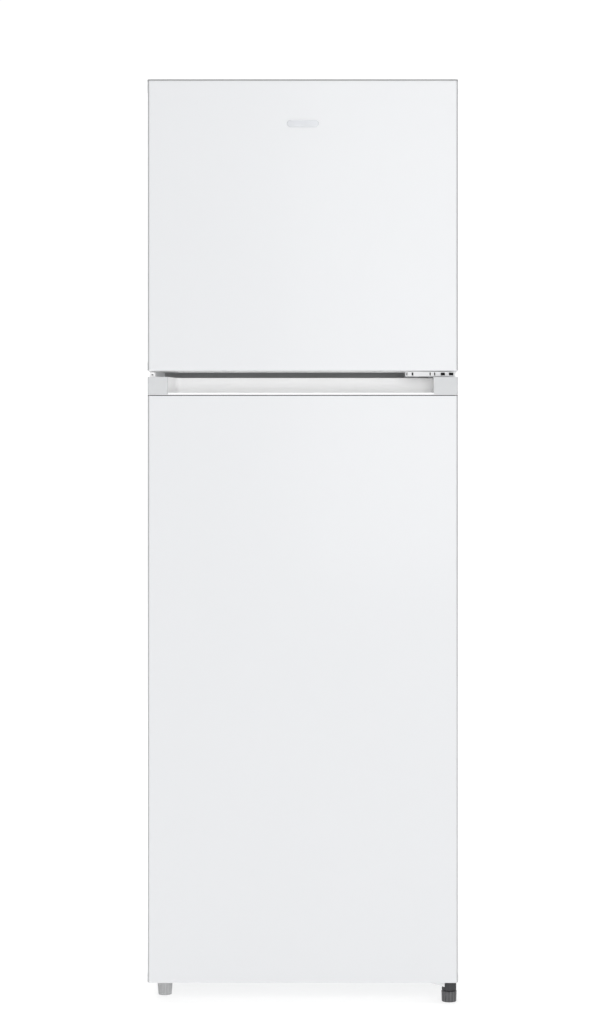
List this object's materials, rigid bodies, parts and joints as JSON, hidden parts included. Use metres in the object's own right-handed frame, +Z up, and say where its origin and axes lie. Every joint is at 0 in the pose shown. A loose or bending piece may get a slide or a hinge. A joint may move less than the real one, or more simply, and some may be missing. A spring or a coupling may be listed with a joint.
{
  "type": "top freezer refrigerator",
  "caption": "Upright top-freezer refrigerator with hinged doors, a recessed pocket handle, glass shelves, crisper drawer, door bins, twist ice maker and levelling feet.",
  "frame": {"origin": "centre of the footprint, on the floor that the feet and rollers stand on", "axes": "+Z up, +Y towards the back, so the doors face -Y; +X towards the hinged side of the doors"},
  "size_m": [0.5474, 0.61, 1.624],
  "materials": {
    "door_paint": "satin white powder coat",
    "cabinet_paint": "satin white powder coat",
    "grey_steel": "zinc-coated sheet",
    "foam": "rigid foam, hidden",
    "liner_plastic": "glossy white moulding",
    "trim_white": "fine satin moulding",
    "trim_grey": "fine satin moulding",
    "seal_rubber": "soft matt extrusion",
    "hinge_steel": "light grey coat",
    "screw_steel": "bright zinc",
    "foot_light": "satin moulding",
    "foot_dark": "ribbed moulding",
    "roller_plastic": "hard moulding",
    "compressor_black": "black gloss paint",
    "mount_rubber": "matt",
    "pan_plastic": "moulded",
    "copper": "drawn tube",
    "aluminium": "bare fins",
    "clear_plastic": "clear moulding",
    "shelf_glass": "toughened, clear",
    "fan_plastic": "moulded",
    "motor_plastic": "moulded",
    "knob_plastic": "satin moulding",
    "ice_tray_plastic": "flexible moulding",
    "lens_plastic": "frosted",
    "badge_metal": "satin"
  },
  "bodies": {
    "cabinet": {"cabinet_shell": "cabinet_paint", "cabinet_foam": "foam", "freezer_liner": "liner_plastic", "fridge_liner": "liner_plastic", "centre_rail": "trim_grey", "back_panel": "grey_steel", "base_pan": "grey_steel", "rear_spacers": "motor_plastic", "top_hinge": "hinge_steel", "top_hinge_cover": "trim_white", "middle_hinge": "hinge_steel", "bottom_hinge": "hinge_steel", "left_bracket": "hinge_steel", "hinge_screws": "screw_steel", "machine_floor": "grey_steel", "compressor": "compressor_black", "compressor_mounts": "mount_rubber", "drain_pan": "pan_plastic", "refrigerant_pipes": "copper", "machine_cover": "grey_steel", "cable_gland": "mount_rubber", "evaporator_cover": "liner_plastic", "evaporator": "aluminium", "fan_motor": "motor_plastic", "freezer_shelf": "clear_plastic", "ice_frame": "trim_white", "shelf_glasses": "shelf_glass", "shelf_trims": "trim_white", "air_duct": "liner_plastic", "control_box": "trim_white", "lamp_lens": "lens_plastic"},
    "freezer_door": {"freezer_door_skin": "door_paint", "freezer_door_foam": "foam", "freezer_door_liner": "liner_plastic", "freezer_door_top_cap": "trim_white", "freezer_door_bottom_cap": "trim_white", "freezer_door_gasket": "seal_rubber", "freezer_door_bins": "clear_plastic", "badge": "badge_metal"},
    "fridge_door": {"fridge_door_skin": "door_paint", "fridge_door_foam": "foam", "fridge_door_liner": "liner_plastic", "fridge_door_handle": "trim_white", "handle_ends": "trim_grey", "fridge_door_bottom_cap": "trim_white", "fridge_door_gasket": "seal_rubber", "fridge_door_bins": "clear_plastic"},
    "crisper_drawer": {"crisper_drawer": "clear_plastic"},
    "humidity_slider": {"humidity_slider": "knob_plastic"},
    "temperature_knob": {"temperature_knob": "knob_plastic"},
    "temperature_slider": {"temperature_slider": "knob_plastic"},
    "switch_plunger": {"switch_plunger": "trim_white"},
    "ice_tray_left": {"ice_tray_left": "ice_tray_plastic"},
    "ice_tray_right": {"ice_tray_right": "ice_tray_plastic"},
    "ice_bin": {"ice_bin": "clear_plastic"},
    "fan_blade": {"fan_blade": "fan_plastic"},
    "foot_left": {"foot_left": "foot_light"},
    "foot_right": {"foot_right": "foot_dark"},
    "roller_left": {"roller_left": "roller_plastic"},
    "roller_right": {"roller_right": "roller_plastic"}
  },
  "joints": [
    {"name": "freezer_door_swing", "type": "hinge", "parent": "cabinet", "child": "freezer_door", "pos_m": [0.2585, -0.2802, 1.112], "axis": [0, 0, 1], "range_deg": [0, 120]},
    {"name": "fridge_door_swing", "type": "hinge", "parent": "cabinet", "child": "fridge_door", "pos_m": [0.2585, -0.2802, 0.0365], "axis": [0, 0, 1], "range_deg": [0, 120]},
    {"name": "crisper_slide", "type": "slide", "parent": "cabinet", "child": "crisper_drawer", "axis": [0, -1, 0], "range_m": [0, 0.15]},
    {"name": "ice_bin_slide", "type": "slide", "parent": "cabinet", "child": "ice_bin", "axis": [0, -1, 0], "range_m": [0, 0.12]},
    {"name": "switch_travel", "type": "slide", "parent": "cabinet", "child": "switch_plunger", "axis": [0, -1, 0], "range_m": [0, 0.008]},
    {"name": "humidity_slide", "type": "slide", "parent": "cabinet", "child": "humidity_slider", "axis": [1, 0, 0], "range_m": [0, 0.038]},
    {"name": "temperature_slide", "type": "slide", "parent": "cabinet", "child": "temperature_slider", "axis": [1, 0, 0], "range_m": [0, 0.036]},
    {"name": "temperature_turn", "type": "hinge", "parent": "cabinet", "child": "temperature_knob", "pos_m": [0.045, -0.075, 1.05175], "axis": [0, -1, 0], "range_deg": [0, 270]},
    {"name": "ice_tray_left_turn", "type": "hinge", "parent": "cabinet", "child": "ice_tray_left", "pos_m": [-0.1655, -0.128, 1.423], "axis": [0, -1, 0], "range_deg": [0, 115], "stiffness_Nm_per_rad": 0.06},
    {"name": "ice_tray_right_turn", "type": "hinge", "parent": "cabinet", "child": "ice_tray_right", "pos_m": [-0.0795, -0.128, 1.423], "axis": [0, -1, 0], "range_deg": [0, 115], "stiffness_Nm_per_rad": 0.06},
    {"name": "fan_spin", "type": "hinge", "parent": "cabinet", "child": "fan_blade", "pos_m": [0, 0.186, 1.45], "axis": [0, 1, 0], "continuous": true},
    {"name": "foot_left_adjust", "type": "slide", "parent": "cabinet", "child": "foot_left", "axis": [0, 0, 1], "range_m": [-0.012, 0]},
    {"name": "foot_right_adjust", "type": "slide", "parent": "cabinet", "child": "foot_right", "axis": [0, 0, 1], "range_m": [-0.012, 0]},
    {"name": "roller_left_spin", "type": "hinge", "parent": "cabinet", "child": "roller_left", "pos_m": [-0.2275, 0.255, 0.016], "axis": [1, 0, 0], "continuous": true},
    {"name": "roller_right_spin", "type": "hinge", "parent": "cabinet", "child": "roller_right", "pos_m": [0.2275, 0.255, 0.016], "axis": [1, 0, 0], "continuous": true}
  ],
  "couplings": [
    {"joint": "crisper_slide", "follows": "fridge_door_swing", "m_per_rad": 0.0716},
    {"joint": "switch_travel", "follows": "fridge_door_swing", "m_per_rad": 0.0038},
    {"joint": "ice_bin_slide", "follows": "freezer_door_swing", "m_per_rad": 0.0572}
  ]
}
